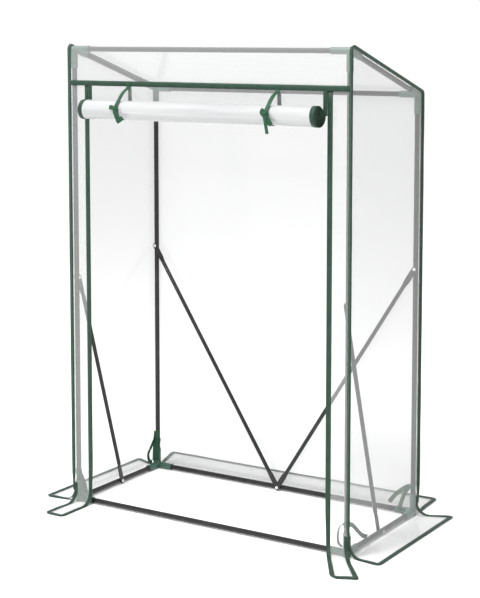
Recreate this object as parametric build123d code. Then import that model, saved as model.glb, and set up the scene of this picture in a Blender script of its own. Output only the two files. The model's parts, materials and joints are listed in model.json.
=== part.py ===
"""Lean-to mini greenhouse: push-fit steel tube frame, clear film cover, roll-up door, ground skirts.

Millimetres. X runs left to right, Y from the open front to the back, Z up. The origin is on the
ground, in the middle of the footprint with the skirts laid out.
"""
from math import atan2, cos, degrees, sin
import os

from build123d import *

# ---- frame ----
WIDTH = 1000.0           # between the centre lines of the left and right posts
DEPTH = 450.0            # between the centre lines of the front and back posts
FRONT_HEIGHT = 1500.0    # ground to the top of the cover over the front bar
BACK_HEIGHT = 1360.0     # ground to the top of the cover over the back bar
TUBE_R = 8.0             # posts, base bars, top bars and roof bars
TUBE_WALL = 0.7
SOCKET_WALL = 2.35       # of the three-way corner fittings
FITTING_ARM = 60.0       # corner centre to the mouth of a socket
RIM_STEP = 0.3           # rolled lip round each mouth
RIM_LENGTH = 5.0
SOCKET_FLOOR = 14.0      # corner centre to the end of the tube in its socket
SOCKET_GAP = 0.15
FOOT_STEP = 1.5          # flat pad under each base fitting, past its arms
FOOT_HEIGHT = 4.0
GROUND_GAP = 0.5         # under the arms of the base fittings

# ---- braces, with crushed ends lying against the tubes ----
BRACE_R = 6.5
BRACE_WALL = 0.7
BACK_BRACE_TOP = 798.0   # height of the bolt on each back post
SIDE_BRACE_TOP = 748.0   # height of the bolt on each front post
PLATE_WIDTH = 18.0
PLATE_T = 2.4
PLATE_LENGTH = 48.0      # bolt to the start of the neck
NECK_LENGTH = 20.0       # from the crushed end to the round tube
PLATE_GAP = 0.1
BOLT_R = 2.5
BOLT_HOLE_R = 2.8
HEAD_R = 5.5
HEAD_HEIGHT = 3.2
HEAD_ROUND = 1.2
SLOT_LENGTH = 5.0        # cross recess in each bolt head
SLOT_WIDTH = 1.2
SLOT_DEPTH = 1.5
NUT_R = 4.6
NUT_T = 2.5
NUT_BORE_R = 2.6
BOLT_END = 0.1           # thread showing past the nut

# ---- film cover and its binding tape ----
COVER_CLEAR = 0.2        # inside the film, over the fittings and nuts
FILM_T = 1.0
TAPE_WIDTH = 14.0
TAPE_T = 1.0
TAPE_GAP = 0.2           # between the ends of two tapes
HEADER_DROP = 120.0      # top of the cover down to the seam over the doorway
STRIP_WIDTH = 75.0       # fixed film from each front corner to the doorway

# ---- rolled door and its two ties ----
DOOR_GAP = 4.0           # doorway edge to the door's edge, each side
SHEET_GAP = 0.2          # header tape to the door film
ROLL_R = 33.0
ROLL_CORE_R = 18.0
ROLL_DROP = 80.0         # seam to the middle of the roll
ROLL_END = 20.0          # bound edge showing at each end of the roll
ROLL_SHORTER = 3.0       # door's edge to the end of the roll, each side
ROLL_BEHIND = 0.2        # tape on the hanging film to the back of the roll
ROLL_GROUND_GAP = 7.0    # under the roll when the door is down
TIE_WIDTH = 14.0
TIE_T = 0.8
TIE_GAP = 0.4
TIE_X = (-276.0, 268.0)  # left and right tie
TIE_TOP = 1.0            # front strand above the middle of the seam
KNOT_SIZE = (24.0, 8.0, 20.0)
KNOT_ABOVE = 6.0         # over the middle of the roll
TAIL_LENGTH = 46.0
TAIL_SPLAY = 28.0        # degrees from plumb

# ---- skirts that flare out of the walls and lie on the ground ----
FLARE_R = 38.0           # radius of the flare, and height of its fold line
FOLD_GAP = 0.2           # fold line to the bottom of the wall
FOLD_BARE = 2.0          # fold line to the start of the edge tape
SIDE_SKIRT = 111.0       # wall to the outer edge
BACK_SKIRT = 179.0
FRONT_SKIRT = 179.0      # right front flap, to its furthest corner
FRONT_SKIRT_LEFT = 156.0
SIDE_SPREAD = (16.0, 44.0)    # outer edge past the front and back corners
BACK_SPREAD = (59.0, -11.0)   # outer edge past the left and right corners
FLAP_SWING = 111.0       # right front flap, sideways travel of its furthest corner
FLAP_SLANT = 38.0        # and how much nearer its outer corner is

# ---- ribbon tied round each post near the ground ----
RIBBON_Z = 96.0
RIBBON_GAP = 0.2
RIBBON_T = 0.8
RIBBON_WIDTH = 14.0
RIBBON_TAIL = 62.0
RIBBON_TURN = 38.0       # degrees between the two tails, seen from above
RIBBON_LEAN = 20.0       # degrees from plumb

# ---- places worked out from the sizes above ----
X_POST = WIDTH / 2
Y_POST = DEPTH / 2
FITTING_R = TUBE_R + SOCKET_GAP + SOCKET_WALL
RIM_R = FITTING_R + RIM_STEP
FOOT_R = FITTING_R + FOOT_STEP
BOLT_REACH = TUBE_R + PLATE_GAP + NUT_T + BOLT_END      # tube centre line to the tip of a bolt
COVER_GAP = max(RIM_R, BOLT_REACH) + COVER_CLEAR        # tube centre line to the inner face of the film
COVER_R = COVER_GAP + FILM_T
X_SIDE = X_POST + COVER_GAP
Y_WALL = Y_POST + COVER_GAP
Y_FACE = Y_POST + COVER_R
BASE_Z = FITTING_R + GROUND_GAP
WALL_BOTTOM = FLARE_R + FOLD_GAP
TOP_Z = {"front": FRONT_HEIGHT - COVER_R, "back": BACK_HEIGHT - COVER_R}
SEAM_Z = FRONT_HEIGHT - HEADER_DROP
DOORWAY_X = X_SIDE + FILM_T - STRIP_WIDTH
ROOF_FALL = atan2(TOP_Z["front"] - TOP_Z["back"], DEPTH)
DOOR_X = DOORWAY_X - DOOR_GAP
SHEET_Y = -(Y_FACE + TAPE_T + SHEET_GAP + FILM_T)
ROLL_X = DOOR_X - ROLL_SHORTER
ROLL_Y = SHEET_Y - TAPE_T - ROLL_BEHIND - ROLL_R
ROLL_Z = SEAM_Z - ROLL_DROP

SIDES = {"left": -1, "right": 1}
ENDS = {"front": -1, "back": 1}
UP = Vector(0, 0, 1)
PAST = 30.0              # how far a cutting shape runs past what it cuts


def rod(start, end, radius):
    """Round bar from one point to another."""
    run = end - start
    return extrude(Plane(start, z_dir=run) * Circle(radius), run.length)


def corner_point(level, end, side):
    """Where the centre lines of three tubes meet."""
    height = BASE_Z if level == "base" else TOP_Z[end]
    return Vector(SIDES[side] * X_POST, ENDS[end] * Y_POST, height)


def tube(start, end):
    """Tube pushed into the sockets of the fittings at two corners."""
    along = (end - start).normalized()
    first, last = start + along * SOCKET_FLOOR, end - along * SOCKET_FLOOR
    return rod(first, last, TUBE_R) - rod(first, last, TUBE_R - TUBE_WALL)


def fitting(centre, arms):
    """Moulded three-way corner: a ball as wide as the lips, with a socket in each arm."""
    body = Pos(centre) * Sphere(RIM_R)
    for arm in arms:
        mouth = centre + arm * FITTING_ARM
        body += rod(centre, mouth, FITTING_R)
        body += rod(mouth - arm * RIM_LENGTH, mouth, RIM_R)
    for arm in arms:
        body -= rod(centre + arm * SOCKET_FLOOR, centre + arm * (FITTING_ARM + PAST), TUBE_R + SOCKET_GAP)
    return body


def fittings():
    """The eight corner fittings by node name; the base ones stand on flat pads."""
    made = {}
    slope = Vector(0, cos(ROOF_FALL), -sin(ROOF_FALL))
    for side, sx in SIDES.items():
        for end, sy in ENDS.items():
            across = Vector(-sx, 0, 0)
            base = corner_point("base", end, side)
            ground = Vector(base.X, base.Y, 0)
            foot = rod(ground, ground + UP * FOOT_HEIGHT, FOOT_R)
            made[f"corner_base_{end}_{side}"] = fitting(base, (UP, across, Vector(0, -sy, 0))) + foot
            top = corner_point("top", end, side)
            made[f"corner_top_{end}_{side}"] = fitting(top, (-UP, across, slope * -sy))
    return made


def tubes():
    """The twelve straight tubes by node name."""
    corners = {(level, end, side): corner_point(level, end, side)
               for level in ("base", "top") for end in ENDS for side in SIDES}
    made = {}
    for side in SIDES:
        for end in ENDS:
            made[f"post_{end}_{side}"] = tube(corners["base", end, side], corners["top", end, side])
        for level, name in (("base", "base_bar"), ("top", "roof_bar")):
            made[f"{name}_{side}"] = tube(corners[level, "front", side], corners[level, "back", side])
    for end in ENDS:
        for level, name in (("base", "base_bar"), ("top", "top_bar")):
            made[f"{name}_{end}"] = tube(corners[level, end, "left"], corners[level, end, "right"])
    return made


# ---- braces ----
def brace_runs():
    """Each brace: its two bolt points on tube centre lines, the way inward, and the tubes it is bolted to."""
    runs = {}
    for side, sx in SIDES.items():
        post_top = Vector(sx * X_POST, Y_POST, BACK_BRACE_TOP)
        runs[f"brace_back_{side}"] = (post_top, Vector(0, Y_POST, BASE_Z), Vector(0, -1, 0),
                                      (f"post_back_{side}", "base_bar_back"))
        post_front = Vector(sx * X_POST, -Y_POST, SIDE_BRACE_TOP)
        runs[f"brace_side_{side}"] = (post_front, Vector(sx * X_POST, 0, BASE_Z), Vector(-sx, 0, 0),
                                      (f"post_front_{side}", f"base_bar_{side}"))
    return runs


def brace(top, bottom, inward, bottom_layer):
    """Tube with crushed, drilled ends; layer 0 lies on the frame tube and layer 1 on another brace."""
    layer_step = PLATE_T + PLATE_GAP
    offset = inward * (TUBE_R + layer_step)
    start, end = top + offset, bottom + offset
    along = (end - start).normalized()
    reach = PLATE_LENGTH + NECK_LENGTH
    body = rod(start + along * reach, end - along * reach, BRACE_R)
    for bolt, run, layer in ((start, along, 0), (end, -along, bottom_layer)):
        across = run.cross(inward)
        neck = bolt + run * reach
        level = bolt + inward * ((layer - 0.5) * layer_step)
        outline = Circle(PLATE_WIDTH / 2) + Pos(PLATE_LENGTH / 2, 0) * Rectangle(PLATE_LENGTH, PLATE_WIDTH)
        plate = Plane(level, x_dir=run, z_dir=inward) * (outline - Circle(BOLT_HOLE_R))
        crushed = level + run * PLATE_LENGTH
        flat_end = Plane(crushed, x_dir=across, z_dir=run) * Rectangle(PLATE_WIDTH, PLATE_T)
        round_end = Plane(neck, x_dir=across, z_dir=run) * Circle(BRACE_R)
        body += extrude(plate, PLATE_T / 2, both=True) + loft([flat_end, round_end])
    return body - rod(start + along * reach, end - along * reach, BRACE_R - BRACE_WALL)


def bolt_places():
    """Each bolt once: its point on the tube's centre line, the way inward, and how many plates it holds."""
    places = []
    for side, sx in SIDES.items():
        places.append((Vector(sx * X_POST, Y_POST, BACK_BRACE_TOP), Vector(0, -1, 0), 1))
        places.append((Vector(sx * X_POST, -Y_POST, SIDE_BRACE_TOP), Vector(-sx, 0, 0), 1))
        places.append((Vector(sx * X_POST, 0, BASE_Z), Vector(-sx, 0, 0), 1))
    places.append((Vector(0, Y_POST, BASE_Z), Vector(0, -1, 0), 2))
    return places


def bolt(point, inward, plates):
    """Pan-head screw through the plates and the tube, with a cross recess."""
    seat = point + inward * (TUBE_R + plates * (PLATE_T + PLATE_GAP))
    tip = point - inward * BOLT_REACH
    head = rod(seat, seat + inward * HEAD_HEIGHT, HEAD_R)
    rim = head.edges().filter_by(GeomType.CIRCLE).sort_by(lambda edge: (edge.center() - seat).dot(inward))[-1]
    head = fillet(rim, HEAD_ROUND)
    recess = Rectangle(SLOT_LENGTH, SLOT_WIDTH) + Rectangle(SLOT_WIDTH, SLOT_LENGTH)
    cut = extrude(Plane(seat + inward * (HEAD_HEIGHT - SLOT_DEPTH), z_dir=inward) * recess, PAST)
    return rod(tip, seat + inward * (HEAD_HEIGHT / 4), BOLT_R) + head - cut


def nut(point, inward):
    """Thin hexagon nut on the outer side of the tube."""
    seat = point - inward * (TUBE_R + PLATE_GAP)
    outline = RegularPolygon(NUT_R, 6) - Circle(NUT_BORE_R)
    return extrude(Plane(seat, z_dir=-inward) * outline, NUT_T)


def braces_and_bolts(frame):
    """Drills the frame tubes, and returns the braces, bolts and nuts by node name."""
    made = {}
    for name, (top, bottom, inward, held) in brace_runs().items():
        made[name] = brace(top, bottom, inward, 1 if name == "brace_back_right" else 0)
        for point, tube_name in ((top, held[0]), (bottom, held[1])):
            drill = rod(point - inward * PAST, point + inward * PAST, BOLT_HOLE_R)
            frame[tube_name] -= drill
    made["brace_bolts"] = Compound(children=[bolt(*place) for place in bolt_places()])
    made["brace_nuts"] = Compound(children=[nut(point, inward) for point, inward, _ in bolt_places()])
    return made


# ---- cover ----
def roof_line(y, above):
    """Height at y of a line parallel to the roof bars, so far above their centre lines."""
    return TOP_Z["front"] + (above - (y + Y_POST) * sin(ROOF_FALL)) / cos(ROOF_FALL)


def end_outline(radius, bottom):
    """The greenhouse seen from its end, so far outside the tubes' centre lines. Drawn with Y across."""
    square = 90 - degrees(ROOF_FALL)
    front = CenterArc((-Y_POST, TOP_Z["front"]), radius, 180, square - 180)
    back = CenterArc((Y_POST, TOP_Z["back"]), radius, square, -square)
    walls = Polyline(back @ 1, (Y_POST + radius, bottom), (-Y_POST - radius, bottom), front @ 0)
    return make_face([front, Line(front @ 1, back @ 0), back, *walls.edges()])


def along_x(section, low, high):
    """Solid with one cross-section from low to high X."""
    return extrude(Plane.YZ.offset(low) * section, high - low)


def band(low, high, bottom, top):
    """Rectangle in the end view, from low to high Y and bottom to top Z."""
    return Pos((low + high) / 2, (bottom + top) / 2) * Rectangle(high - low, top - bottom)


def cover_films():
    """The flat panels of the cover by node name."""
    span = DEPTH / cos(ROOF_FALL)
    tilt = Pos(-Y_POST, TOP_Z["front"]) * Rot(0, 0, -degrees(ROOF_FALL))
    roof = tilt * band(0, span, COVER_GAP, COVER_R)
    roof_and_more = tilt * band(0, span, COVER_GAP - FILM_T, COVER_R + FILM_T)
    wrap = end_outline(COVER_R, WALL_BOTTOM) - end_outline(COVER_GAP, WALL_BOTTOM)
    front, back = (wrap - roof_and_more).faces().sort_by(Axis.X)
    above_seam = band(-Y_POST - DEPTH, 0, SEAM_Z, FRONT_HEIGHT + PAST)
    made = {
        "film_roof": along_x(roof, -X_SIDE, X_SIDE),
        "film_header": along_x(front & above_seam, -X_SIDE, X_SIDE),
        "film_back": along_x(back, -X_SIDE, X_SIDE),
    }
    strip = front - above_seam
    made["film_strip_left"] = along_x(strip, -X_SIDE, -DOORWAY_X)
    made["film_strip_right"] = along_x(strip, DOORWAY_X, X_SIDE)
    panel = end_outline(COVER_R, WALL_BOTTOM)
    made["film_side_left"] = along_x(panel, -X_SIDE - FILM_T, -X_SIDE)
    made["film_side_right"] = along_x(panel, X_SIDE, X_SIDE + FILM_T)
    return made


def cover_bindings():
    """Tape on the outer face: round each side panel, along the seam and down each side of the doorway."""
    inner_y = Y_FACE - TAPE_WIDTH
    inner = [(-inner_y, WALL_BOTTOM - PAST), (-inner_y, roof_line(-inner_y, COVER_R - TAPE_WIDTH)),
             (inner_y, roof_line(inner_y, COVER_R - TAPE_WIDTH)), (inner_y, WALL_BOTTOM - PAST)]
    ring = end_outline(COVER_R, WALL_BOTTOM) - make_face(Polyline(inner, close=True))
    side_x = X_SIDE + FILM_T
    seam = band(-Y_FACE - TAPE_T, -Y_FACE, SEAM_Z - TAPE_WIDTH / 2, SEAM_Z + TAPE_WIDTH / 2)
    upright = band(-Y_FACE - TAPE_T, -Y_FACE, WALL_BOTTOM, SEAM_Z - TAPE_WIDTH / 2 - TAPE_GAP)
    return {
        "binding_side_left": along_x(ring, -side_x - TAPE_T, -side_x),
        "binding_side_right": along_x(ring, side_x, side_x + TAPE_T),
        "binding_header": along_x(seam, -side_x, side_x),
        "binding_strip_left": along_x(upright, -DOORWAY_X - TAPE_WIDTH, -DOORWAY_X),
        "binding_strip_right": along_x(upright, DOORWAY_X, DOORWAY_X + TAPE_WIDTH),
    }


# ---- door ----
def door():
    """The film between the seam and the roll, and the roll itself, with their bound edges."""
    sheet = band(SHEET_Y, SHEET_Y + FILM_T, ROLL_Z, SEAM_Z)
    edge = band(SHEET_Y - TAPE_T, SHEET_Y, ROLL_Z, SEAM_Z - TAPE_WIDTH / 2)
    roll = Pos(ROLL_Y, ROLL_Z) * (Circle(ROLL_R) - Circle(ROLL_CORE_R))
    return {
        "door_sheet": along_x(sheet, -DOOR_X, DOOR_X),
        "door_sheet_bindings": Compound(children=[along_x(edge, -DOOR_X, -DOOR_X + TAPE_WIDTH),
                                                  along_x(edge, DOOR_X - TAPE_WIDTH, DOOR_X)]),
        "door_roll": along_x(roll, -ROLL_X + ROLL_END, ROLL_X - ROLL_END),
        "door_roll_bindings": Compound(children=[along_x(roll, -ROLL_X, -ROLL_X + ROLL_END),
                                                 along_x(roll, ROLL_X - ROLL_END, ROLL_X)]),
    }


def tie_loop():
    """End view of the ribbon: down inside the film, round under the roll and up its front to the seam."""
    inner_r = ROLL_R + TIE_GAP
    top = SEAM_Z + TIE_TOP
    behind, before = -Y_FACE - TIE_GAP / 2, SHEET_Y - TIE_GAP

    def around(extra):
        roll = CenterArc((ROLL_Y, ROLL_Z), inner_r + extra, 0, 360)
        inside = behind + extra - TIE_T
        over_seam = Line((before - extra, top), (inside, top))
        return make_hull([roll, over_seam, Line((inside, top), (inside, ROLL_Z))])

    under_tape = band(behind - TIE_T - TIE_GAP, 0, SEAM_Z - TAPE_WIDTH / 2 - TAPE_GAP, top + PAST)
    return around(TIE_T) - around(0) - under_tape


def door_tie(x):
    """Ribbon round the rolled door with its knot and two tails."""
    loop = along_x(tie_loop(), x - TIE_WIDTH / 2, x + TIE_WIDTH / 2)
    front = ROLL_Y - ROLL_R - TIE_GAP - TIE_T
    width, depth, height = KNOT_SIZE
    place = Pos(x, front + TIE_T - depth / 2, ROLL_Z + KNOT_ABOVE)
    knot = place * Box(width, depth, height)
    tie = loop + fillet(knot.edges(), depth / 3)
    for turn in (-TAIL_SPLAY, TAIL_SPLAY):
        tail = Pos(0, 0, -TAIL_LENGTH / 2) * Box(TIE_WIDTH, TIE_T, TAIL_LENGTH)
        tie += place * Rot(0, turn, 0) * tail
    return tie


# ---- skirts ----
def flare(wall, outward, low, high):
    """Sheet that leaves a wall downward, turns outward and lies flat, between two depths of its thickness."""
    bend = Vector(FLARE_R, FLARE_R)
    reach = WIDTH
    lower = [CenterArc(bend, FLARE_R - low, 180, 90), Line((FLARE_R, low), (reach, low))]
    upper = [CenterArc(bend, FLARE_R - high, 180, 90), Line((FLARE_R, high), (reach, high))]
    ends = [Line((low, FLARE_R), (high, FLARE_R)), Line((reach, low), (reach, high))]
    section = make_face(lower + upper + ends)
    plane = Plane(wall, x_dir=outward, z_dir=outward.cross(UP))
    return extrude(plane * section, WIDTH, both=True)


def skirt(wall, outward, near, far):
    """Skirt and its edge tape: near holds its two corners at the wall, far its two outer corners."""
    back = [a + (a - b).normalized() * PAST for a, b in zip(near, far)]
    outline = make_face(Polyline([back[0], far[0], far[1], back[1]], close=True))
    edge = outline - offset(outline, -TAPE_WIDTH, kind=Kind.INTERSECTION)
    film = flare(wall, outward, 0, FILM_T) & extrude(outline, FLARE_R)
    tape = flare(wall, outward, FILM_T, FILM_T + TAPE_T) & extrude(edge, FLARE_R - FOLD_BARE)
    return film, tape


def skirts():
    """The five skirts and their tapes by node name."""
    plans = {}
    for side, sx in SIDES.items():
        far_x = sx * (X_SIDE + SIDE_SKIRT)
        near = [Vector(sx * X_SIDE, -Y_WALL), Vector(sx * X_SIDE, Y_WALL)]
        far = [Vector(far_x, -Y_WALL - SIDE_SPREAD[0]), Vector(far_x, Y_WALL + SIDE_SPREAD[1])]
        plans[f"skirt_{side}"] = (Vector(sx * X_SIDE, 0), Vector(sx, 0, 0), near, far)
    far_y = Y_WALL + BACK_SKIRT
    near = [Vector(-X_SIDE, Y_WALL), Vector(X_SIDE, Y_WALL)]
    far = [Vector(-X_SIDE - BACK_SPREAD[0], far_y), Vector(X_SIDE + BACK_SPREAD[1], far_y)]
    plans["skirt_back"] = (Vector(0, Y_WALL), Vector(0, 1, 0), near, far)
    front_wall, forward = Vector(0, -Y_WALL), Vector(0, -1, 0)
    near = [Vector(-X_SIDE, -Y_WALL), Vector(-DOORWAY_X, -Y_WALL)]
    drop = Vector(0, -FRONT_SKIRT_LEFT)
    plans["skirt_front_left"] = (front_wall, forward, near, [corner + drop for corner in near])
    near = [Vector(DOORWAY_X, -Y_WALL), Vector(X_SIDE, -Y_WALL)]
    far = [near[0] + Vector(FLAP_SWING, -FRONT_SKIRT), near[1] + Vector(FLAP_SWING, FLAP_SLANT - FRONT_SKIRT)]
    plans["skirt_front_right"] = (front_wall, forward, near, far)
    made = {}
    for name, plan in plans.items():
        made[name], made[f"{name}_binding"] = skirt(*plan)
    return made


# ---- ribbons round the posts ----
def corner_ribbon(end, side):
    """Ribbon round one post with two short tails towards the middle of the greenhouse."""
    inner = TUBE_R + RIBBON_GAP
    ring = extrude(Circle(inner + RIBBON_T) - Circle(inner), RIBBON_WIDTH)
    facing = degrees(atan2(-ENDS[end], -SIDES[side]))
    tie = Pos(0, 0, -RIBBON_WIDTH / 2) * ring
    for turn in (-RIBBON_TURN, RIBBON_TURN):
        tail = Pos(0, 0, -RIBBON_TAIL / 2) * Box(RIBBON_T, RIBBON_WIDTH, RIBBON_TAIL)
        lean = Pos(inner + RIBBON_T / 2, 0, RIBBON_WIDTH / 2) * Rot(0, -RIBBON_LEAN, 0) * tail
        tie += Rot(0, 0, facing + turn) * lean
    return Pos(SIDES[side] * X_POST, ENDS[end] * Y_POST, RIBBON_Z) * tie


def ribbons():
    """The two door ties and the four corner ribbons by node name."""
    made = {f"door_tie_{side}": door_tie(x) for side, x in zip(SIDES, TIE_X)}
    for side in SIDES:
        for end in ENDS:
            made[f"corner_tie_{end}_{side}"] = corner_ribbon(end, side)
    return made


frame_tubes = tubes()
nodes = braces_and_bolts(frame_tubes)
nodes.update(frame_tubes)
for group in (fittings(), cover_films(), cover_bindings(), door(), skirts(), ribbons()):
    nodes.update(group)

os.makedirs("parts", exist_ok=True)
for name, shape in nodes.items():
    export_step(shape, f"parts/{name}.step")

travel = ROLL_Z - ROLL_R - ROLL_GROUND_GAP
print(f"{len(nodes)} nodes, roll centre y {ROLL_Y:.2f} z {ROLL_Z}, door travel {travel}")
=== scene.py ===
"""Looks of the lean-to mini greenhouse: clear film cover, bound edges, rolled door, ribbons, tube frame."""
import json
from math import acos, atan2, ceil, cos, pi, radians, sin, sqrt, tau

import bpy
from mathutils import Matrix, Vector, noise


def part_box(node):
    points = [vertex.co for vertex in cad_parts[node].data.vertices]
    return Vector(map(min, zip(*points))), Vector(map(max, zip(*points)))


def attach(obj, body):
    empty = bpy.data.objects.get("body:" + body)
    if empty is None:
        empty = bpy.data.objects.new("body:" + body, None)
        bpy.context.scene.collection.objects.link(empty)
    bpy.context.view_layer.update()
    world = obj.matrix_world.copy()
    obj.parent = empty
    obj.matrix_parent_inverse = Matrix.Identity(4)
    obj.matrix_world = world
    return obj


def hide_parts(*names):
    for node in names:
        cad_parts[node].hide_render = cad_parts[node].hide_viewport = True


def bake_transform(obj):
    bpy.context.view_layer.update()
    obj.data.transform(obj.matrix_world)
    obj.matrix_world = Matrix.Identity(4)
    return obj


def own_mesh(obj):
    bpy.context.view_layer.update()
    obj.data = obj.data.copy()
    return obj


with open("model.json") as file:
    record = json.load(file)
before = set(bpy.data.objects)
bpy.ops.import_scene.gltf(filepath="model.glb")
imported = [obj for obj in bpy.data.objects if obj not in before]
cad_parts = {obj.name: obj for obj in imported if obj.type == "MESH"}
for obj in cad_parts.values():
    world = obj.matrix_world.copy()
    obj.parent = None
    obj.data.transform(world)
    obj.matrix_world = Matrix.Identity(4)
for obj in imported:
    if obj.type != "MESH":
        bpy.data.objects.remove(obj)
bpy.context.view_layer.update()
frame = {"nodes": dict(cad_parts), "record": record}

# ---- sizes in metres ----
TAPE = 0.014             # width of the tape round the skirts and beside the doorway
SEAM_TAPE = 0.0165       # tape over the doorway
TAPE_HALF = 0.0011       # half the thickness of a tape folded over a film edge
FLARE_R = 0.038          # radius of the bend between a wall and its skirt
SKIRT_LIFT = 0.0014      # film of a skirt over the ground
BACK_LEAN = 0.011        # right end of the back skirt, shorter than the wall
FLAP_SLANT = 0.038       # right front flap, how much nearer its outer corner is
CORNER_R = 0.018         # rounded outer corners of a skirt
TAPE_OVER = 0.024        # skirt tape running up over the end of the wall tape
STRIP_PROUD = 0.0034     # tape of the fixed strip past the film's own edge
RIBBON = 0.0135          # width of every ribbon
RIBBON_T = 0.0008        # its thickness
ROLL_TURNS = 10.8
ROLL_CORE = 0.004        # radius of the innermost turn
ROLL_BUNCH = 0.00078     # how far the turns of the roll gather into thicker rings
BUNCH_TURNS = 3.1        # turns in each of those rings
ROLL_EDGE = 0.021        # bound edge at each end of the roll
ROLL_PINCH = 0.0024      # how far a tied ribbon pulls the roll in
PINCH_WIDTH = 0.045      # reach of that pinch to each side of the ribbon
EDGE_FADE = 0.07         # film lies flat along a wall's edges and wanders this far inside them
TAPER = 0.07             # height over which a corner's tape narrows down to the fold line
ROOF_SAG = 0.0036
# how far the film of each part wanders out of flat
WANDER = {"header": 0.0012, "roof": 0.0018, "back": 0.0026, "side": 0.0024, "strip": 0.0016, "door": 0.0009,
          "skirt": 0.0035}

# ---- lamps and camera ----
LAMPS = (("key", (-0.5, -2.2, 4.8), 1.2, 215),       # name, place, size, watts
         ("side", (1.3, -5.0, 3.2), 0.5, 55))
SURROUND = 1.04          # strength of the white surroundings
EYE = (2.516, -4.022, 1.5346)
EYE_DOWN = 0.0984        # radians below level
EYE_TURN = 0.5614        # radians round from the front towards the right
LENS = 90.0
LENS_SHIFT = -0.1957     # framing only

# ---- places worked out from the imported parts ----
SIDES = {"left": -1, "right": 1}
ENDS = {"front": -1, "back": 1}
X = Vector((1, 0, 0))
Y = Vector((0, 1, 0))
UP = Vector((0, 0, 1))


def middle(node):
    """Centre of a node's box."""
    low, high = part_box(node)
    return (low + high) / 2


X_POST = middle("post_front_right").x
Y_POST = middle("post_back_right").y
TOP = {"front": middle("top_bar_front").z, "back": middle("top_bar_back").z}
X_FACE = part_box("film_side_right")[1].x          # outer face of the side film
COVER_R = X_FACE - X_POST                        # tube centre line to that face
Y_FACE = Y_POST + COVER_R
FILM_IN = 0.0005                                 # film surface inside its outer face
FALL = atan2(TOP["front"] - TOP["back"], 2 * Y_POST)
SEAM_Z = middle("binding_header").z
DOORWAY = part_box("film_strip_right")[0].x        # half the width of the doorway
FOLD_Z = FLARE_R
SHEET_Y = middle("door_sheet").y
DOOR_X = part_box("door_sheet")[1].x
ROLL = middle("door_roll")
ROLL_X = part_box("door_roll_bindings")[1].x
ROLL_R = (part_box("door_roll")[1].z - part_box("door_roll")[0].z) / 2
TIE_X = {side: middle(f"door_tie_{side}").x for side in SIDES}
RIBBON_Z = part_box("corner_tie_front_left")[1].z - RIBBON / 2      # band round a post


# ---- small helpers ----
def smooth(value):
    """0 below 0, 1 above 1, smoothly between."""
    value = min(1.0, max(0.0, value))
    return value * value * (3 - 2 * value)


def steps(low, high, size):
    """Evenly spaced values from low to high, at most so far apart."""
    count = max(1, ceil(abs(high - low) / size - 1e-6))
    return [low + (high - low) * i / count for i in range(count + 1)]


def ripple(a, b, seed):
    """Smooth wandering value near -1 to 1 over a sheet measured in metres."""
    slow = noise.noise(Vector((a * 2.6, b * 1.3, seed)))
    quick = noise.noise(Vector((a * 7.5, b * 2.6, seed + 9.3)))
    return slow + 0.45 * quick


def curve_through(points, per_span=8):
    """Catmull-Rom curve through points of any number of values."""
    ends = [2 * points[0] - points[1], *points, 2 * points[-1] - points[-2]]
    line = []
    for a, b, c, d in zip(ends, ends[1:], ends[2:], ends[3:]):
        for i in range(per_span):
            t = i / per_span
            line.append(0.5 * (2 * b + (c - a) * t + (2 * a - 5 * b + 4 * c - d) * t * t
                               + (3 * b - a - 3 * c + d) * t ** 3))
    return line + [points[-1]]


def make_mesh(name, points, faces, uvs, material):
    """Smooth-shaded object; uvs holds one (u, v) in metres for each corner of each face."""
    mesh = bpy.data.meshes.new(name)
    mesh.from_pydata([tuple(p) for p in points], [], faces)
    layer = mesh.uv_layers.new(name="UVMap")
    layer.data.foreach_set("uv", [value for face in uvs for uv in face for value in uv])
    mesh.polygons.foreach_set("use_smooth", [True] * len(faces))
    mesh.materials.append(material)
    mesh.update()
    piece = bpy.data.objects.new(name, mesh)
    bpy.context.scene.collection.objects.link(piece)
    return piece


def grid(name, rows, material):
    """Open sheet through rows of points."""
    count = len(rows[0])
    points = [p for row in rows for p in row]
    across, down = [0.0], [0.0]
    for a, b in zip(rows[len(rows) // 2], rows[len(rows) // 2][1:]):
        across.append(across[-1] + (b - a).length)
    for a, b in zip(rows, rows[1:]):
        down.append(down[-1] + (b[count // 2] - a[count // 2]).length)
    faces, uvs = [], []
    for i in range(len(rows) - 1):
        for j in range(count - 1):
            k = i * count + j
            faces.append((k, k + 1, k + count + 1, k + count))
            uvs.append([(across[j], down[i]), (across[j + 1], down[i]),
                        (across[j + 1], down[i + 1]), (across[j], down[i + 1])])
    return make_mesh(name, points, faces, uvs, material)


def sweep(name, rings, material, closed=False):
    """Closed tube through rings of points; it joins its own start where closed, and is capped elsewhere."""
    count = len(rings[0])
    points = [p for ring in rings for p in ring]
    spans = len(rings) if closed else len(rings) - 1
    along = [0.0]
    for i in range(spans):
        along.append(along[-1] + (rings[(i + 1) % len(rings)][0] - rings[i][0]).length)
    around = [0.0]
    for j in range(count):
        around.append(around[-1] + (rings[0][(j + 1) % count] - rings[0][j]).length)
    faces, uvs = [], []
    for i in range(spans):
        for j in range(count):
            k, n = i * count, ((i + 1) % len(rings)) * count
            faces.append((k + j, n + j, n + (j + 1) % count, k + (j + 1) % count))
            uvs.append([(along[i], around[j]), (along[i + 1], around[j]),
                        (along[i + 1], around[j + 1]), (along[i], around[j + 1])])
    if not closed:
        last = (len(rings) - 1) * count
        for face in (tuple(range(count)), tuple(range(last + count - 1, last - 1, -1))):
            faces.append(face)
            uvs.append([(0.0, around[j]) for j in range(count)])
    return make_mesh(name, points, faces, uvs, material)


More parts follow.
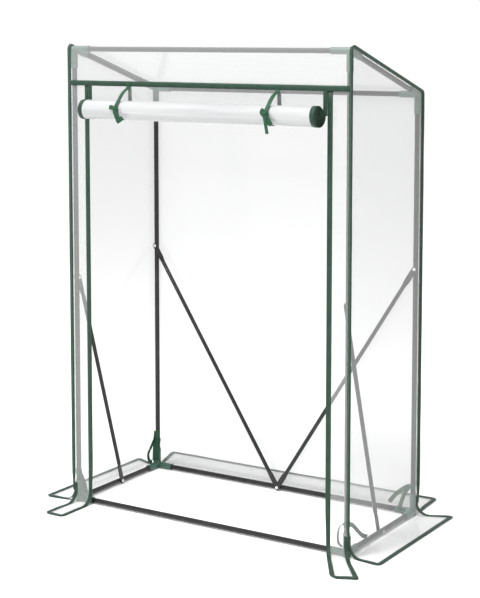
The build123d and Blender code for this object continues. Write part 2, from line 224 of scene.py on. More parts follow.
def folded_tape(inner, outer, lift, half=TAPE_HALF):
    """Section of a tape folded over an edge: a flat loop between two points, thick along lift."""
    profile = ((0.0, 0.5), (0.04, 1.0), (0.5, 0.9), (0.9, 1.05), (0.99, 0.55),
               (0.99, -0.55), (0.9, -1.05), (0.5, -0.9), (0.04, -1.0), (0.0, -0.5))
    return [inner.lerp(outer, across) + lift * (half * height) for across, height in profile]


# ---- materials ----
class Nodes:
    """Short way to build a node material round one Principled shader."""

    def __init__(self, name, **values):
        self.material = bpy.data.materials.new(name)
        self.material.use_nodes = True
        self.tree = self.material.node_tree
        self.shader = self.tree.nodes["Principled BSDF"]
        for socket, value in values.items():
            self.shader.inputs[socket.replace("_", " ")].default_value = value

    def add(self, kind, settings=(), **inputs):
        node = self.tree.nodes.new(kind)
        for key, value in dict(settings).items():
            setattr(node, key, value)
        for socket, value in inputs.items():
            self.put(node, socket.replace("_", " "), value)
        return node

    def put(self, node, socket, value):
        by_index = socket[0] == "i" and socket[1:].isdigit()
        target = node.inputs[int(socket[1:]) if by_index else socket]
        if isinstance(value, bpy.types.NodeSocket):
            self.tree.links.new(value, target)
        else:
            target.default_value = value

    def math(self, operation, a, b=0.0, c=0.0):
        return self.add("ShaderNodeMath", {"operation": operation}, i0=a, i1=b, i2=c).outputs[0]

    def noise(self, scale, detail=3.0, vector=None):
        node = self.add("ShaderNodeTexNoise", Scale=scale, Detail=detail)
        self.tree.links.new(vector or self.place(), node.inputs["Vector"])
        return node.outputs["Fac"]

    def place(self):
        return self.add("ShaderNodeTexCoord").outputs["Object"]

    def uv(self):
        """The two distances in metres along and across a piece."""
        parts = self.add("ShaderNodeSeparateXYZ", Vector=self.add("ShaderNodeTexCoord").outputs["UV"])
        return parts.outputs[0], parts.outputs[1]

    def ramp(self, factor, low, high, from_low=0.0, from_high=1.0):
        node = self.add("ShaderNodeMapRange", Value=factor, From_Min=from_low, From_Max=from_high,
                        To_Min=low, To_Max=high)
        return node.outputs[0]

    def mix(self, factor, a, b):
        node = self.add("ShaderNodeMix", {"data_type": "RGBA"})
        for index, value in ((0, factor), (6, a), (7, b)):
            if isinstance(value, bpy.types.NodeSocket):
                self.tree.links.new(value, node.inputs[index])
            else:
                node.inputs[index].default_value = value
        return node.outputs[2]

    def colour(self, value):
        self.put(self.shader, "Base Color", value)

    def rough(self, value):
        self.put(self.shader, "Roughness", value)

    def bump(self, height, distance, strength=1.0, under=None):
        node = self.add("ShaderNodeBump", Height=height, Distance=distance, Strength=strength)
        if under:
            self.tree.links.new(under, node.inputs["Normal"])
        return node.outputs[0]

    def normal(self, value):
        self.put(self.shader, "Normal", value)


def film_material():
    """Clear film with a light milkiness, soft wrinkles and slightly uneven gloss."""
    n = Nodes("film", Alpha=0.34, IOR=1.5, Specular_IOR_Level=0.9, Coat_Weight=0.6, Coat_Roughness=0.06)
    cloud = n.noise(3.0, 2.0)
    n.colour(n.mix(cloud, (0.40, 0.408, 0.41, 1), (0.47, 0.476, 0.476, 1)))
    n.rough(n.ramp(n.noise(6.0, 3.0), 0.14, 0.22, 0.3, 0.7))
    wrinkle = n.bump(n.noise(9.0, 2.0), 0.004, 0.35)
    n.normal(n.bump(n.noise(60.0, 2.0), 0.0005, 0.15, wrinkle))
    return n.material


def rolled_material():
    """Many turns of the same film: pale, glossy, with drawn lines along the roll."""
    n = Nodes("rolled_film", IOR=1.5, Specular_IOR_Level=0.6, Coat_Weight=0.6, Coat_Roughness=0.06)
    along, around = n.uv()
    stretch = n.add("ShaderNodeCombineXYZ", X=n.math("MULTIPLY", along, 3.0),
                    Y=n.math("MULTIPLY", around, 60.0))
    streak = n.noise(1.0, 4.0, stretch.outputs[0])
    n.colour(n.mix(n.ramp(streak, 0, 1, 0.3, 0.7), (0.34, 0.345, 0.35, 1), (0.42, 0.425, 0.425, 1)))
    n.rough(n.ramp(streak, 0.14, 0.3, 0.3, 0.7))
    n.normal(n.bump(n.noise(14.0, 3.0), 0.004, 0.3, n.bump(streak, 0.0012, 0.35)))
    return n.material


def woven(name, dark, light, pitch, stitch_at, thread):
    """Woven tape: fine ribs across its length, and a row of stitches at stitch_at across it."""
    n = Nodes(name, IOR=1.45, Specular_IOR_Level=0.3, Sheen_Weight=0.08, Sheen_Roughness=0.4)
    along, across = n.uv()
    rib = n.math("ABSOLUTE", n.math("SINE", n.math("MULTIPLY", along, pi / pitch)))
    warp = n.math("ABSOLUTE", n.math("SINE", n.math("MULTIPLY", across, pi / (pitch * 1.6))))
    weave = n.math("MULTIPLY", rib, warp)
    wander = n.noise(60.0, 3.0)
    base = n.mix(n.ramp(n.math("ADD", n.math("MULTIPLY", weave, 0.6), wander), 0, 1, 0.4, 1.2), dark, light)
    off = n.math("ABSOLUTE", n.math("SUBTRACT", across, stitch_at))
    near = n.math("LESS_THAN", off, 0.0005)
    dash = n.math("LESS_THAN", n.math("FRACT", n.math("MULTIPLY", along, 1 / 0.004)), 0.72)
    stitch = n.math("MULTIPLY", near, dash)
    n.colour(n.mix(stitch, base, thread))
    n.rough(n.ramp(weave, 0.62, 0.42))
    gather = n.noise(45.0, 2.0)
    relief = n.math("ADD", n.math("MULTIPLY", weave, 0.5), n.math("MULTIPLY", stitch, 1.5))
    n.normal(n.bump(relief, 0.0003, 0.7, n.bump(gather, 0.002, 0.3)))
    return n.material


def tube_material():
    """Dark powder coat with orange peel, a little dust and paler rubbed patches."""
    n = Nodes("tube_steel", IOR=1.45, Specular_IOR_Level=0.2, Coat_Weight=0.55, Coat_Roughness=0.16)
    rubbed = n.ramp(n.noise(14.0, 6.0), 0, 1, 0.52, 0.75)
    n.colour(n.mix(rubbed, (0.006, 0.006, 0.007, 1), (0.020, 0.019, 0.020, 1)))
    n.rough(n.ramp(n.noise(45.0, 4.0), 0.28, 0.46, 0.3, 0.7))
    n.normal(n.bump(n.noise(420.0, 2.0), 0.00025, 0.5))
    return n.material


def plastic_material():
    """Moulded green polypropylene with a fine grain and faint flow marks."""
    n = Nodes("fitting_plastic", IOR=1.49, Specular_IOR_Level=0.6, Coat_Weight=0.4, Coat_Roughness=0.12)
    flow = n.noise(24.0, 5.0)
    n.colour(n.mix(flow, (0.018, 0.066, 0.045, 1), (0.034, 0.110, 0.074, 1)))
    n.rough(n.ramp(n.noise(90.0, 3.0), 0.30, 0.45, 0.3, 0.7))
    n.normal(n.bump(n.noise(900.0, 2.0), 0.0002, 0.4))
    return n.material


def zinc_material():
    """Zinc-plated steel with a spangle and uneven roughness."""
    n = Nodes("bolt_steel", Metallic=1.0)
    spangle = n.noise(500.0, 3.0)
    n.colour(n.mix(spangle, (0.62, 0.63, 0.65, 1), (0.85, 0.85, 0.86, 1)))
    n.rough(n.ramp(n.noise(800.0, 2.0), 0.18, 0.38, 0.3, 0.7))
    n.normal(n.bump(spangle, 0.0001, 0.3))
    return n.material


FILM = film_material()
ROLLED = rolled_material()
BINDING = woven("binding_tape", (0.008, 0.027, 0.016, 1), (0.020, 0.054, 0.034, 1), 0.0011, 0.0028,
                (0.045, 0.100, 0.065, 1))
TIE = woven("tie_ribbon", (0.005, 0.040, 0.016, 1), (0.014, 0.080, 0.036, 1), 0.0009, -1.0,
            (0.02, 0.1, 0.04, 1))
FINISHES = {
    "tube_steel": tube_material(),
    "fitting_plastic": plastic_material(),
    "bolt_steel": zinc_material(),
    "cover_film": FILM,
    "binding_tape": BINDING,
    "rolled_film": ROLLED,
    "tie_ribbon": TIE,
}


def finish_cad_nodes():
    """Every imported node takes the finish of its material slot."""
    for entry in frame["record"]["subparts"]:
        slots = frame["nodes"][entry["node"]].data.materials
        slots.clear()
        slots.append(FINISHES[entry["material_slot"]])


# ---- cover: walls and roof ----
def end_line(offset):
    """The cover's two bends over the top bars seen from their end, so far outside the tubes' centre lines.

    A list of (y, z, outward y, outward z), from the top of the front wall to the top of the back wall.
    """
    line = []
    for centre_y, centre_z, start, end in ((-Y_POST, TOP["front"], pi, pi / 2 - FALL),
                                           (Y_POST, TOP["back"], pi / 2 - FALL, 0.0)):
        for angle in steps(start, end, radians(12)):
            out = (cos(angle), sin(angle))
            line.append((centre_y + offset * out[0], centre_z + offset * out[1], *out))
    return line


def end_stations(offset, low_front, low_back, front_size, roof_share, back_size):
    """Stations up the front wall, over the roof and down the back wall: (y, z, outward y, outward z).

    The bends are parted by count. The front bend has more points, so its last span takes the rows meant for
    the roof, and the roof is one flat span.
    """
    bends = end_line(offset)
    half = len(bends) // 2
    front, back = bends[:half], bends[half:]
    wall_y = Y_POST + offset
    rise = [(-wall_y, z, -1.0, 0.0) for z in steps(low_front, TOP["front"], front_size)[:-1]]
    slope = [tuple(a + (b - a) * t for a, b in zip(front[-1], back[0]))
             for t in steps(0, 1, roof_share)[1:-1]]
    fall = [(wall_y, z, 1.0, 0.0) for z in steps(TOP["back"], low_back, back_size)[1:]]
    return rise + front + slope + back + fall


def skirt_surface(near, far, outward):
    """Function of (s, d, lift) for a place on a skirt.

    s runs from one near corner to the other, and d is the distance from the wall. A negative d is a height up
    the wall above the fold line.
    """
    reach = [abs((b - a).dot(outward)) for a, b in zip(near, far)]

    def point(s, d, lift=0.0):
        start, end = near[0].lerp(near[1], s), far[0].lerp(far[1], s)
        limit = reach[0] + (reach[1] - reach[0]) * s
        place = start + (end - start) * (max(d, 0.0) / limit)
        angle = acos(max(0.0, 1 - max(d, 0.0) / FLARE_R)) if d < FLARE_R else pi / 2
        rise = FLARE_R * (1 - sin(angle)) - min(d, 0.0)
        flat = smooth((d - FLARE_R) / 0.05)
        wave = (0.5 + 0.5 * ripple(place.x * 1.6, place.y * 1.6, 3.7)) * WANDER["skirt"] * flat
        place.z = SKIRT_LIFT + rise + wave
        return place + (outward * cos(angle) + UP * sin(angle)) * lift

    def rounded(s):
        """Distance from the wall to the free edge, less near the two rounded corners."""
        bend = CORNER_R / point.width
        full = point.reach(min(1 - bend, max(bend, s)))
        inset = CORNER_R - min(CORNER_R, max(0.0, min(s, 1 - s)) * point.width)
        return full - CORNER_R + sqrt(CORNER_R ** 2 - inset ** 2)

    point.width = (near[1] - near[0]).length
    point.reach = lambda s: reach[0] + (reach[1] - reach[0]) * s
    point.edge = rounded
    return point


def flare_stops(limit, size=0.02):
    """Distances from the wall: close together round the flare, then even steps to the far edge."""
    bend = [FLARE_R * (1 - cos(radians(angle))) for angle in range(9, 90, 9)]
    return bend + steps(FLARE_R, limit, size)


def skirt_rows(surface, shares):
    """Rows of points from the wall to the far edge of a skirt."""
    longest = max(surface.reach(0), surface.reach(1))
    rows = []
    for d in flare_stops(longest):
        out = max(0.0, d - FLARE_R) / (longest - FLARE_R)
        rows.append([surface(s, min(d, FLARE_R) + out * (surface.edge(s) - FLARE_R)) for s in shares])
    return rows


def skirt_plans():
    """The five skirts: name, near corners, far corners and the way out."""
    plans = {}
    x, y = X_FACE - FILM_IN, Y_FACE - FILM_IN
    for side, sx in SIDES.items():
        low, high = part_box(f"skirt_{side}")
        far_x = sx * max(abs(low.x), abs(high.x))
        plans[side] = ([Vector((sx * x, -y, 0)), Vector((sx * x, y, 0))],
                       [Vector((far_x, low.y, 0)), Vector((far_x, high.y, 0))], Vector((sx, 0, 0)))
    low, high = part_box("skirt_back")
    plans["back"] = ([Vector((-x, y, 0)), Vector((x, y, 0))],
                     [Vector((low.x, high.y, 0)), Vector((x - BACK_LEAN, high.y, 0))], Vector((0, 1, 0)))
    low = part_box("skirt_front_left")[0]
    near = [Vector((-x, -y, 0)), Vector((-DOORWAY, -y, 0))]
    plans["front_left"] = (near, [Vector((p.x, low.y, 0)) for p in near], Vector((0, -1, 0)))
    low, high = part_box("skirt_front_right")
    near = [Vector((DOORWAY, -y, 0)), Vector((x, -y, 0))]
    swing = high.x - near[1].x
    plans["front_right"] = (near, [Vector((near[0].x + swing, low.y, 0)),
                                   Vector((high.x, low.y + FLAP_SLANT, 0))], Vector((0, -1, 0)))
    return plans


SKIRTS = {name: skirt_surface(*plan) for name, plan in skirt_plans().items()}


def bend_at_fold(piece):
    """Bakes the piece's placement into its mesh."""
    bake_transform(piece)


def wall_fade(*distances):
    """0 at the edges of a wall and 1 inside it, for distances to its edges."""
    fade = 1.0
    for distance in distances:
        fade *= smooth(distance / EDGE_FADE)
    return fade


def wrap_film():
    """One sheet: header, roof, back wall and back skirt."""
    xs = steps(-X_FACE + FILM_IN, X_FACE - FILM_IN, 0.024)
    shares = [(x + X_FACE - FILM_IN) / (2 * (X_FACE - FILM_IN)) for x in xs]
    rows = []
    for y, z, out_y, out_z in end_stations(COVER_R - FILM_IN, SEAM_Z, FOLD_Z + SKIRT_LIFT, 0.02, 0.05, 0.024):
        sag = 0.0
        if out_z > 0.9:
            share = (y + Y_POST) / (2 * Y_POST)
            fade, height = wall_fade(Y_POST - abs(y)), WANDER["roof"]
            sag = -ROOF_SAG * smooth(4 * share * (1 - share))
        elif out_y < 0:
            fade, height = wall_fade((z - SEAM_Z) * 2, (TOP["front"] - z) * 2), WANDER["header"]
        else:
            fade, height = wall_fade(TOP["back"] - z, z - FOLD_Z), WANDER["back"]
        row = []
        for x in xs:
            edge = wall_fade(X_FACE - abs(x))
            push = (ripple(x, z + 2 * y, 1.7) * height + sag) * fade * edge
            row.append(Vector((x, y + out_y * push, z + out_z * push)))
        rows.append(row)
    rows += skirt_rows(SKIRTS["back"], shares)
    piece = grid("cover_wrap", rows, FILM)
    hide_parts("film_header", "film_roof", "film_back", "skirt_back")
    bend_at_fold(piece)


def top_of_side(y):
    """Top edge of a side panel at y, with its two rounded corners."""
    radius = COVER_R - FILM_IN
    for end, sign in ENDS.items():
        off = (y - sign * Y_POST) * sign
        reach = radius * sin(FALL) * sign
        if off > reach:
            return TOP[end] + sqrt(max(0.0, radius ** 2 - off ** 2))
    along = (y + Y_POST) / (2 * Y_POST)
    return TOP["front"] + (TOP["back"] - TOP["front"]) * along + radius / cos(FALL)


def side_film(side):
    """Side panel and its skirt, one sheet with rounded top corners."""
    sx = SIDES[side]
    limit = Y_FACE - FILM_IN
    ys = [-limit * part for part in (1.0, 0.995, 0.985, 0.97, 0.95)]
    ys = ys + steps(ys[-1], -ys[-1], 0.02)[1:-1] + [-y for y in reversed(ys)]
    shares = [(y + limit) / (2 * limit) for y in ys]
    bottom = FOLD_Z + SKIRT_LIFT
    rows = []
    for t in steps(1, 0, 0.018):
        row = []
        for y in ys:
            top = top_of_side(y)
            z = bottom + (top - bottom) * t
            fade = wall_fade(limit - abs(y), top - z, z - bottom)
            push = ripple(y, z, 5.1 + sx) * WANDER["side"] * fade
            row.append(Vector((sx * (X_FACE - FILM_IN + push), y, z)))
        rows.append(row)
    rows += skirt_rows(SKIRTS[side], shares)
    piece = grid(f"cover_side_{side}", rows, FILM)
    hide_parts(f"film_side_{side}", f"skirt_{side}")
    bend_at_fold(piece)
    skirt_length = SKIRTS[side].reach(0) + FLARE_R * (pi / 2 - 1)


def strip_film(side):
    """Fixed film beside the doorway and its flap on the ground, one sheet."""
    sx = SIDES[side]
    surface = SKIRTS[f"front_{side}"]
    near_x, far_x = sorted((sx * DOORWAY, sx * (X_FACE - FILM_IN)))
    xs = steps(near_x, far_x, 0.0075)
    shares = [(x - near_x) / (far_x - near_x) for x in xs]
    rows = []
    for z in steps(SEAM_Z, FOLD_Z + SKIRT_LIFT, 0.02):
        row = []
        for x in xs:
            fade = wall_fade(SEAM_Z - z, z - FOLD_Z) * smooth((X_FACE - abs(x)) / 0.03)
            fade *= smooth((abs(x) - DOORWAY - TAPE) / 0.02)
            push = ripple(x * 0.7, z * 1.6, 7.9 + sx) * WANDER["strip"] * fade
            row.append(Vector((x, -Y_FACE + FILM_IN - push, z)))
        rows.append(row)
    rows += skirt_rows(surface, shares)
    piece = grid(f"cover_strip_{side}", rows, FILM)
    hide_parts(f"film_strip_{side}", f"skirt_front_{side}")
    bend_at_fold(piece)
    length = SEAM_Z - FOLD_Z + surface.reach(0.5) + FLARE_R * (pi / 2 - 1)


# ---- tapes ----
def seam_tape(side):
    """Rolled seam in its tape, up the front corner, along the roof and down the back corner."""
    sx = SIDES[side]
    out = Vector((sx, 0, 0))
    # section: (along out, along the edge's own outward way), with the film's corner at zero
    section = ((-0.0070, 0.0003), (-0.0068, 0.0013), (-0.0030, 0.0030), (0.0005, 0.0046), (0.0030, 0.0047),
               (0.0046, 0.0032), (0.0048, 0.0008), (0.0032, -0.0028), (0.0014, -0.0056), (0.0003, -0.0058),
               (-0.0006, -0.0050), (-0.0008, -0.0008), (-0.0066, -0.0006))
    foot = FOLD_Z + 0.001
    rings = []
    for y, z, out_y, out_z in end_stations(COVER_R, foot, foot, 0.03, 0.06, 0.03):
        edge = Vector((sx * X_FACE, y, z))
        away = Vector((0, out_y, out_z))
        wander = 1 + 0.10 * noise.noise(Vector((y * 9, z * 9, sx)))
        wander *= 0.4 + 0.6 * smooth((z - FOLD_Z) / TAPER)
        rings.append([edge + out * (a * wander) + away * (b * wander) for a, b in section])
    piece = sweep(f"seam_tape_{side}", rings, BINDING)
    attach(piece, "root")
    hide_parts(f"binding_side_{side}")


def header_tape():
    """Tape folded over the header's lower edge and the top of the door."""
    rings = []
    for x in steps(-X_FACE - 0.001, X_FACE + 0.001, 0.03):
        dip = Vector((0, 0, 0.0008 * noise.noise(Vector((x * 6, 0, 2.2)))))
        centre = Vector((x, -Y_FACE - 0.0005, SEAM_Z)) + dip
        low, high = centre - UP * (SEAM_TAPE / 2), centre + UP * (SEAM_TAPE / 2)
        rings.append(folded_tape(high, low, Vector((0, -1, 0)), half=0.0024))
    piece = sweep("header_tape", rings, BINDING)
    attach(piece, "root")
    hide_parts("binding_header")


def strip_tape(side):
    """Tape folded over the doorway edge of the fixed film."""
    sx = SIDES[side]
    rings = []
    for z in steps(SEAM_Z - SEAM_TAPE / 2 + 0.002, FOLD_Z + 0.001, 0.03):
        edge = Vector((sx * DOORWAY, -Y_FACE + FILM_IN, z))
        edge.y += (0.0004 + 0.0003 * noise.noise(Vector((z * 5, 4.1, sx)))) * smooth((z - FOLD_Z) / 0.1)
        proud = Vector((sx * STRIP_PROUD * smooth((z - FOLD_Z) / 0.1), 0, 0))
        rings.append(folded_tape(edge + Vector((sx * TAPE, 0, 0)), edge - proud, Vector((0, -1, 0))))
    piece = sweep(f"strip_tape_{side}", rings, BINDING)
    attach(piece, "root")
    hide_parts(f"binding_strip_{side}")


def tape_stops(surface):
    """Pairs of (distance along the wall, distance from it) for the outer and inner edge of a skirt's tape."""
    wide = surface.width
    bend = [FLARE_R * (1 - cos(radians(angle))) for angle in (0, 5, 12, 20, 30, 40, 50, 60, 70, 80)]

    def leg(at, inner_at):
        stops = steps(-TAPE_OVER, 0, 0.006)[:-1] + bend
        stops += steps(FLARE_R, surface.edge(at / wide), 0.012)
        return [((at, d), (inner_at, d)) for d in stops]

    def corner(at, turn):
        centre_at, centre_d = at + turn * CORNER_R, surface.edge(at / wide)
        pairs = []
        for angle in steps(0, pi / 2, radians(15))[1:-1]:
            across, out = -turn * cos(angle), sin(angle)
            pairs.append(tuple((centre_at + radius * across, centre_d + radius * out)
                               for radius in (CORNER_R, CORNER_R - TAPE)))
        return pairs

    far = []
    for at in steps(CORNER_R, wide - CORNER_R, min(0.02, wide / 12)):
        far.append(((at, surface.reach(at / wide)), (at, surface.reach(at / wide) - TAPE)))
    return (leg(0.0, TAPE) + corner(0.0, 1) + far + corner(wide, -1)[::-1] + leg(wide, wide - TAPE)[::-1])


def skirt_tape(name):
    """Tape folded over the three free edges of a skirt, round its two far corners."""
    surface = SKIRTS[name]
    rings = []
    for outer, inner in tape_stops(surface):
        middle_s, middle_d = (inner[0] + outer[0]) / 2 / surface.width, (inner[1] + outer[1]) / 2
        lift = (surface(middle_s, middle_d, 1.0) - surface(middle_s, middle_d)).normalized()
        rings.append(folded_tape(surface(inner[0] / surface.width, inner[1]),
                                 surface(outer[0] / surface.width, outer[1]), lift))
    piece = sweep(f"skirt_tape_{name}", rings, BINDING)
    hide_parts(f"skirt_{name}_binding")
    bend_at_fold(piece)


# ---- door ----
def door_wave(x, z):
    """How far the hanging film wanders forward at a place."""
    hang = smooth((SEAM_Z - z) / 0.03) * smooth((z - ROLL.z) / 0.02)
    return ripple(x * 2.2, z * 3, 12.4) * WANDER["door"] * hang


def door_sheet():
    """Film between the seam and the roll, with bound edges."""
    top, bottom = SEAM_Z - 0.001, ROLL.z
    rows = [[Vector((x, SHEET_Y - door_wave(x, z), z)) for x in steps(-DOOR_X, DOOR_X, 0.02)]
            for z in steps(top, bottom, 0.0035)]
    sheet = grid("door_sheet_film", rows, FILM)
    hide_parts("door_sheet")
    tapes = []
    for side, sx in SIDES.items():
        rings = []
        for z in steps(top - 0.004, bottom, 0.0035):
            edge = Vector((sx * (DOOR_X + 0.0015), SHEET_Y - door_wave(sx * DOOR_X, z), z))
            rings.append(folded_tape(edge - Vector((sx * TAPE, 0, 0)), edge, Vector((0, -1, 0))))
        tapes.append(sweep(f"door_tape_{side}", rings, BINDING))
    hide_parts("door_sheet_bindings")
    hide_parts("door_sheet_bindings")
    for piece in [sheet, *tapes]:
        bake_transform(piece)


def roll_point(x, turns, lift=0.0):
    """Point of the rolled film; turns counts inward from where the hanging film meets the roll."""
    share = turns / ROLL_TURNS
    radius = ROLL_R + (ROLL_CORE - ROLL_R) * share - ROLL_BUNCH * sin(tau * turns / BUNCH_TURNS)
    radius += (SHEET_Y - ROLL.y - ROLL_R) * (1 - smooth(turns / 0.2))
    for tie_x in TIE_X.values():
        radius -= ROLL_PINCH * (1 - smooth(abs(x - tie_x) / PINCH_WIDTH)) * (1 - share)
    radius += 0.0009 * ripple(x * 1.5, turns * 0.2, 21.3) * smooth(turns / 0.2)
    angle = -tau * turns
    return Vector((x, ROLL.y + (radius + lift) * cos(angle), ROLL.z + (radius + lift) * sin(angle)))


def door_roll():
    """The rolled part of the door: one long film wound round itself, and its two bound edges."""
    around = steps(0, ROLL_TURNS, 1 / 36)
    rows = [[roll_point(x, t) for x in steps(-ROLL_X + 0.006, ROLL_X - 0.006, 0.02)] for t in around]
    film = grid("door_roll_film", rows, ROLLED)
    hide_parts("door_roll")
    edges = []
    for side, sx in SIDES.items():
        rings = []
        for t in around:
            drift = 0.0012 * noise.noise(Vector((t * 0.8, sx, 6.6))) + 0.0045 * cos(tau * t / BUNCH_TURNS)
            outer, inner = sx * (ROLL_X - 0.005 + drift), sx * (ROLL_X - ROLL_EDGE + drift)
            rings.append([roll_point(inner, t, 0.0004), roll_point((inner + outer) / 2, t, 0.0006),
                          roll_point(outer, t, 0.0003), roll_point(outer, t, -0.0011),
                          roll_point((inner + outer) / 2, t, -0.0010), roll_point(inner, t, -0.0010)])
        edge = sweep(f"door_roll_edge_{side}", rings, BINDING)
        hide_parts("door_roll_bindings")
        edges.append(edge)
    for piece in [film, *edges]:
        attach(piece, "door_roll")


# ---- ribbons ----
def ribbon(name, stations, closed=False, width=RIBBON, thick=RIBBON_T):
    """Flat ribbon through stations of (place, width direction); its ends are cut square."""
    points = [Vector((*place, *wide)) for place, wide in stations]
    line = curve_through(points + points[:1] if closed else points)
    line = line[:-1] if closed else line
    rings = []
    for i, value in enumerate(line):
        if closed:
            before, after = line[i - 1], line[(i + 1) % len(line)]
        else:
            before, after = line[max(i - 1, 0)], line[min(i + 1, len(line) - 1)]
        run = (Vector(after[:3]) - Vector(before[:3])).normalized()
        wide = Vector(value[3:])
        wide = (wide - run * wide.dot(run)).normalized()
        flat = run.cross(wide)
        rings.append([Vector(value[:3]) + wide * (width / 2 * a) + flat * (thick * b)
                      for a, b in ((-1, 0.2), (-0.6, 0.5), (0.6, 0.5), (1, 0.2),
                                   (1, -0.2), (0.6, -0.5), (-0.6, -0.5), (-1, -0.2))])
    return sweep(name, rings, TIE, closed)


def round_roll(x, degrees, over=0.0014):
    """Place on the roll at an angle from straight back, turning up and forward."""
    angle = radians(degrees)
    radius = ROLL_R - ROLL_PINCH + over
    return (x, ROLL.y + radius * cos(angle), ROLL.z + radius * sin(angle))


# Loops of a door ribbon's knot: two radii and how far the loop leans, in radians.
KNOT_LOOPS = (((0.0090, 0.0048), 0.35), ((0.0075, 0.0056), -0.5), ((0.0064, 0.0062), 1.2))
# Each end of a door ribbon hangs from its knot: places as (right, up) in millimetres from the knot's middle.
DOOR_TAILS = {
    "left": (((-4, 1), (-12, 4), (-22, 3)), ((2, -6), (8, -23), (14, -40)),
             ((11, -41), (21, -35), (31, -27))),
    "right": (((-2, 3), (-10, 9), (-13, 1), (-5, -6)), ((3, -6), (12, -20), (21, -33)),
              ((1, -8), (4, -32), (8, -59))),
}


def door_tie(side):
    """Ribbon over the seam, round the rolled door and knotted in front of it."""
    x = TIE_X[side]
    front, behind = -Y_FACE - 0.0050, -Y_FACE + 0.0022
    over_seam = SEAM_Z + 0.0015
    strand = [((x + 0.001, front + 0.0012, over_seam), X), ((x, front - 0.0004, SEAM_Z - 0.012), X),
              ((x - 0.001, -Y_FACE - 0.030, ROLL.z + 0.053), X + Y * 0.1)]
    strand += [(round_roll(x - 0.0015, angle), X) for angle in (132, 150, 168, 186, 210, 235, 262)]
    inner = [(round_roll(x + 0.001, angle), X) for angle in (262, 290, 315)]
    inner += [((x + 0.002, behind, ROLL.z + 0.012), X + Y * 0.2), ((x + 0.003, behind, SEAM_Z - 0.03), X),
              ((x + 0.001, behind + 0.0006, SEAM_Z - 0.004), X)]
    pieces = [ribbon(f"door_tie_{side}_front", strand)]
    back = ribbon(f"door_tie_{side}_back", inner)
    knot = Vector((x, ROLL.y - ROLL_R - 0.0035, ROLL.z + 0.006))
    for i, (radii, lean) in enumerate(KNOT_LOOPS):
        tilt = Vector((cos(lean), 0, sin(lean)))
        wide = Vector((-sin(lean), 0, cos(lean)))
        loop = []
        for angle in steps(0, tau, tau / 8)[:-1]:
            place = knot + tilt * (radii[0] * cos(angle)) + Y * (radii[1] * sin(angle))
            loop.append((place, wide + Y * (0.25 * cos(angle))))
        pieces.append(ribbon(f"door_tie_{side}_knot_{i + 1}", loop, closed=True, width=0.011))
    for i, places in enumerate(DOOR_TAILS[side]):
        stations = []
        for step, (right, up) in enumerate(places):
            ahead = places[min(step + 1, len(places) - 1)]
            before = places[max(step - 1, 0)]
            run = Vector((ahead[0] - before[0], 0, ahead[1] - before[1])).normalized()
            wide = Vector((-run.z, 0, run.x)) + Y * (0.35 if i == 1 else -0.25)
            place = knot + Vector((right / 1000, -0.0045 - 0.0012 * i + 0.002 * step, up / 1000))
            stations.append((place, wide))
        pieces.append(ribbon(f"door_tie_{side}_tail_{i + 1}", stations))
    for piece in pieces + [back]:
        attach(piece, "root")
        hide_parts(f"door_tie_{side}")
    for piece in pieces:
        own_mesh(piece)
    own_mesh(back)


# Loose ends of the ribbon round each post: (right, back, height) in millimetres from the post's centre line
# and the ground, and the direction of the ribbon's width.
CORNER_TAILS = {
    "front_left": ((((9, -4, 97), Y), ((14, -3, 82), Y), ((19, -2, 60), Y), ((20, -2, 31), Y)),
                   (((9, -5, 99), X), ((19, -4, 80), X), ((27, -3, 58), X), ((33, -3, 33), X))),
    "front_right": ((((-9, -4, 99), X + UP), ((-22, -3, 86), Y), ((-28, -3, 62), Y), ((-26, -3, 38), Y),
                     ((-13, -4, 27), Y)),
                    (((9, -3, 99), UP), ((9.5, 20, 90), UP), ((9, 50, 66), UP), ((8, 84, 41), UP),
                     ((7, 116, 27), UP + X * 0.3))),
    "back_left": ((((-2, -10, 134), X), ((-4, -13, 100), X), ((-6, -14, 60), X), ((-7, -14, 26), X)),
                  (((6, -9, 138), X), ((9, -13, 106), X), ((10, -14, 62), X), ((9, -14, 30), X)),
                  (((-4, -9, 112), UP), ((-5, -32, 84), UP), ((-5, -52, 58), Y), ((-5, -44, 32), Y),
                   ((-4, -30, 27), Y))),
    "back_right": ((((-9, -6, 99), UP + X), ((-28, -10, 86), UP), ((-52, -14, 66), UP),
                    ((-76, -17, 36), UP + X * 0.4)),
                   (((-8, -8, 96), X), ((-20, -12, 78), X), ((-31, -15, 50), X), ((-41, -16, 16), X))),
}


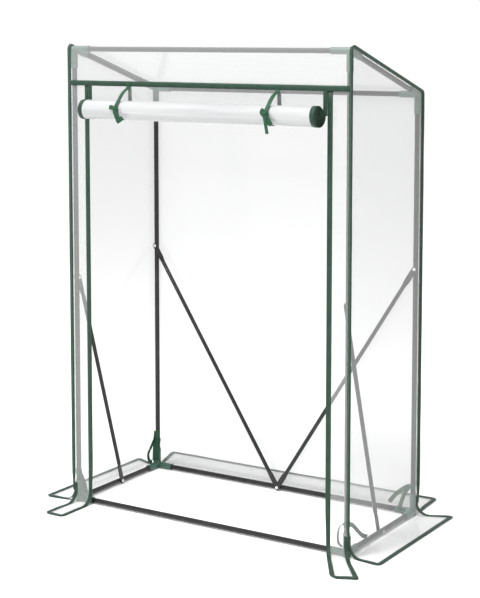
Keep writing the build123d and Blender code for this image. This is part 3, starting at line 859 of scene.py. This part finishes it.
def corner_tie(corner):
    """Ribbon drawn round a post, with its loose ends."""
    end, side = corner.split("_")
    post = Vector((SIDES[side] * X_POST, ENDS[end] * Y_POST, 0))
    low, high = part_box(f"post_{corner}")
    tube_r = (high.x - low.x) / 2
    band = []
    for angle in steps(0, tau, tau / 10)[:-1]:
        out = Vector((cos(angle), sin(angle), 0))
        dip = 0.004 * sin(angle + SIDES[side] * 0.8) + RIBBON_Z
        band.append((post + out * (tube_r + 0.0010) + UP * dip, UP + out * 0.12))
    pieces = [ribbon(f"corner_tie_{corner}_band", band, closed=True)]
    for i, tail in enumerate(CORNER_TAILS[corner]):
        stations = [(post + Vector(place) / 1000, wide) for place, wide in tail]
        pieces.append(ribbon(f"corner_tie_{corner}_tail_{i + 1}", stations))
    for piece in pieces:
        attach(piece, "root")
        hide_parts(f"corner_tie_{corner}")


scene = bpy.context.scene


def backdrop_and_lights():
    """White floor, even white surroundings and two soft lights."""
    bpy.ops.mesh.primitive_plane_add(size=120, location=(0, 0, -0.0005))
    floor = bpy.context.object
    floor.name = "studio_floor"
    paint = Nodes("studio_white", Roughness=1.0, Specular_IOR_Level=0.0)
    paint.colour((0.99, 0.99, 0.99, 1))
    floor.data.materials.append(paint.material)
    world = bpy.data.worlds.new("studio")
    scene.world = world
    world.use_nodes = True
    background = world.node_tree.nodes["Background"]
    background.inputs["Color"].default_value = (1, 1, 1, 1)
    background.inputs["Strength"].default_value = SURROUND
    for name, place, size, power in LAMPS:
        light = bpy.data.lights.new(name, "AREA")
        light.size = size
        light.energy = power
        lamp = bpy.data.objects.new(name, light)
        lamp.location = place
        lamp.rotation_euler = (Vector((0, 0, 0.8)) - Vector(place)).to_track_quat("-Z", "Y").to_euler()
        lamp.visible_camera = False
        scene.collection.objects.link(lamp)
    scene.view_settings.view_transform = "Standard"


def camera():
    """Long lens near the height of the roof, in front and to the right."""
    data = bpy.data.cameras.new("camera")
    data.lens = LENS
    data.sensor_width = 36
    data.shift_y = LENS_SHIFT
    data.clip_end = 200
    eye = bpy.data.objects.new("camera", data)
    eye.location = EYE
    eye.rotation_euler = (pi / 2 - EYE_DOWN, 0, EYE_TURN)
    scene.collection.objects.link(eye)
    scene.camera = eye


finish_cad_nodes()
wrap_film()
header_tape()
for side_name in SIDES:
    side_film(side_name)
    strip_film(side_name)
    seam_tape(side_name)
    strip_tape(side_name)
for skirt_name in SKIRTS:
    skirt_tape(skirt_name)
door_sheet()
door_roll()
for side_name in SIDES:
    door_tie(side_name)
for corner_name in CORNER_TAILS:
    corner_tie(corner_name)
backdrop_and_lights()
camera()
